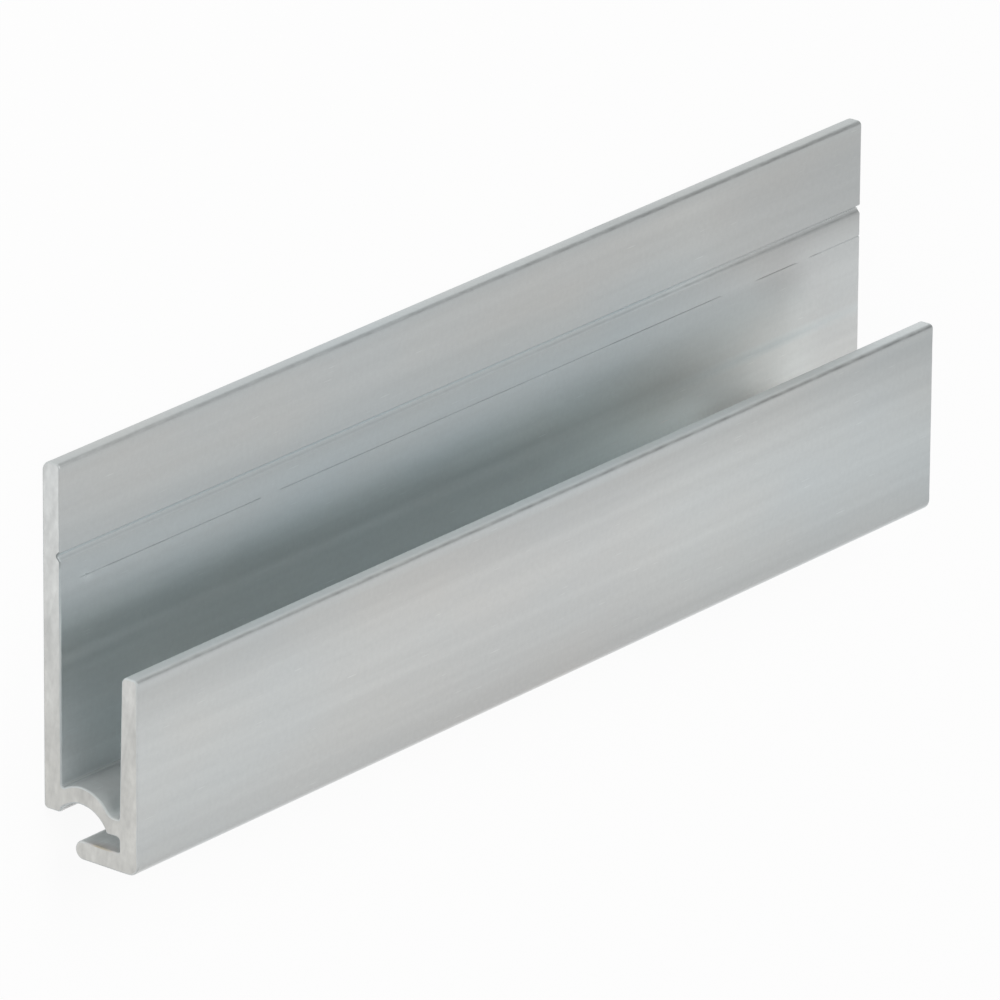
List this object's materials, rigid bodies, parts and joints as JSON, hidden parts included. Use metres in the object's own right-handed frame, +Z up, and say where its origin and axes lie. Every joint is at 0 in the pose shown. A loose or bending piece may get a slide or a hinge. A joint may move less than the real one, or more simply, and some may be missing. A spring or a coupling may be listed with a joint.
{
  "type": "aluminium extrusion profile",
  "caption": "Short cut length of mill-finish aluminium channel extrusion: tall and short wall around a panel slot, arched web over a round clip groove, hooked foot.",
  "frame": {"origin": "middle of the tall wall's outer face, on the floor under the centre of the box", "axes": "+X along the bar's length, -Y out of the panel slot towards the tall wall's rim, +Z up from the tall wall to the short wall"},
  "size_m": [0.1, 0.0324, 0.0096],
  "materials": {
    "mill_aluminium": "mill finish, satin, with fine die lines along the length and sawn ends"
  },
  "bodies": {
    "root": {"channel_bar": "mill_aluminium"}
  },
  "joints": []
}
